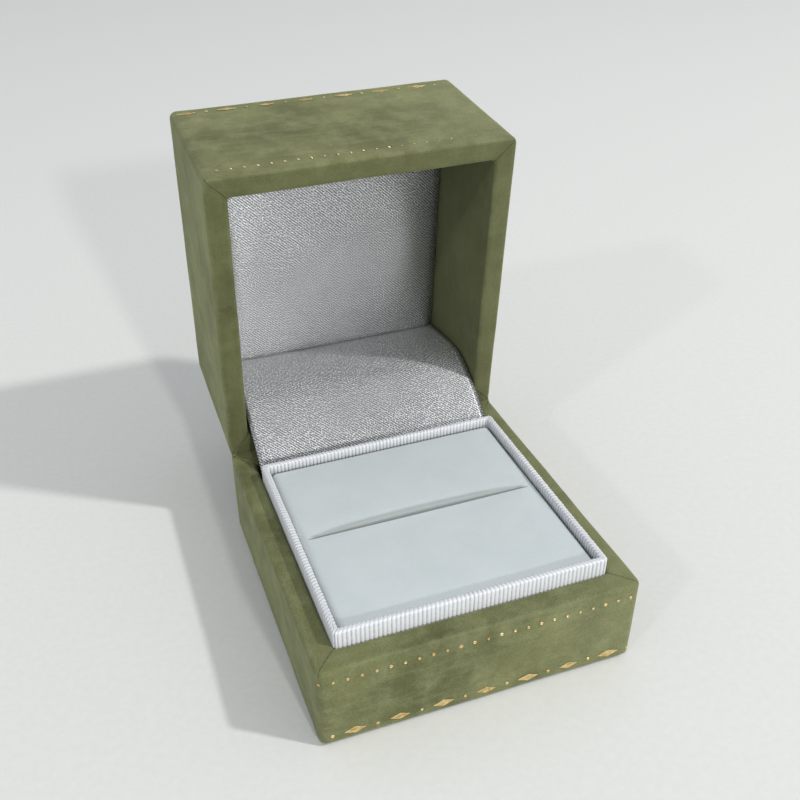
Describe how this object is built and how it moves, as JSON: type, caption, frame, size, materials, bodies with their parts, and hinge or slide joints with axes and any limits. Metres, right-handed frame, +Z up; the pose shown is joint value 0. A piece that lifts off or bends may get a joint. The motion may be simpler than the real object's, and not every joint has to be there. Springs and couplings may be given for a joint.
{
  "type": "ring box",
  "caption": "Small suede-covered presentation case with a hinged lid, satin lid lining, ribbon-edged insert and a slit pad that holds a ring.",
  "frame": {"origin": "centre of the underside of the base, on the surface that the box stands on", "axes": "+Z up, the box opens towards -Y, the hinge is at the back along X at +Y; stored with the lid open as it is displayed"},
  "size_m": [0.06, 0.0955, 0.0836],
  "materials": {
    "olive_suede": "brushed suede, matt",
    "shell_plastic": "matt moulded",
    "grey_card": "uncoated",
    "white_ribbon": "ribbed grosgrain, slight sheen",
    "white_velvet": "short flocked nap, matt",
    "white_foam": "open-cell foam, matt",
    "silver_satin": "satin weave, silvery sheen",
    "plated_steel": "pressed and plated",
    "spring_steel": "blued, satin"
  },
  "bodies": {
    "base": {"base_bottom_cloth": "olive_suede", "base_wrap": "olive_suede", "base_shell": "shell_plastic", "insert_tray": "grey_card", "ribbon_band": "white_ribbon", "pad_board": "grey_card", "pad_foam_front": "white_foam", "pad_foam_rear": "white_foam", "pad_cover": "white_velvet", "hinge_base_leaf": "plated_steel", "hinge_pin_left": "plated_steel", "hinge_pin_right": "plated_steel", "hinge_spring": "spring_steel", "base_rivet_left": "plated_steel", "base_rivet_right": "plated_steel"},
    "lid": {"lid_top_panel": "olive_suede", "lid_wrap": "olive_suede", "lid_shell": "shell_plastic", "lid_lining_board": "grey_card", "lid_lining_wadding": "white_foam", "lid_lining_satin": "silver_satin", "hinge_lid_leaf": "plated_steel", "lid_rivet_left": "plated_steel", "lid_rivet_right": "plated_steel", "satin_apron": "silver_satin"}
  },
  "joints": [
    {"name": "lid_hinge", "type": "hinge", "parent": "base", "child": "lid", "pos_m": [0, 0.03125, 0.01855], "axis": [1, 0, 0], "range_deg": [0, 85], "deforming": ["satin_apron"]}
  ]
}
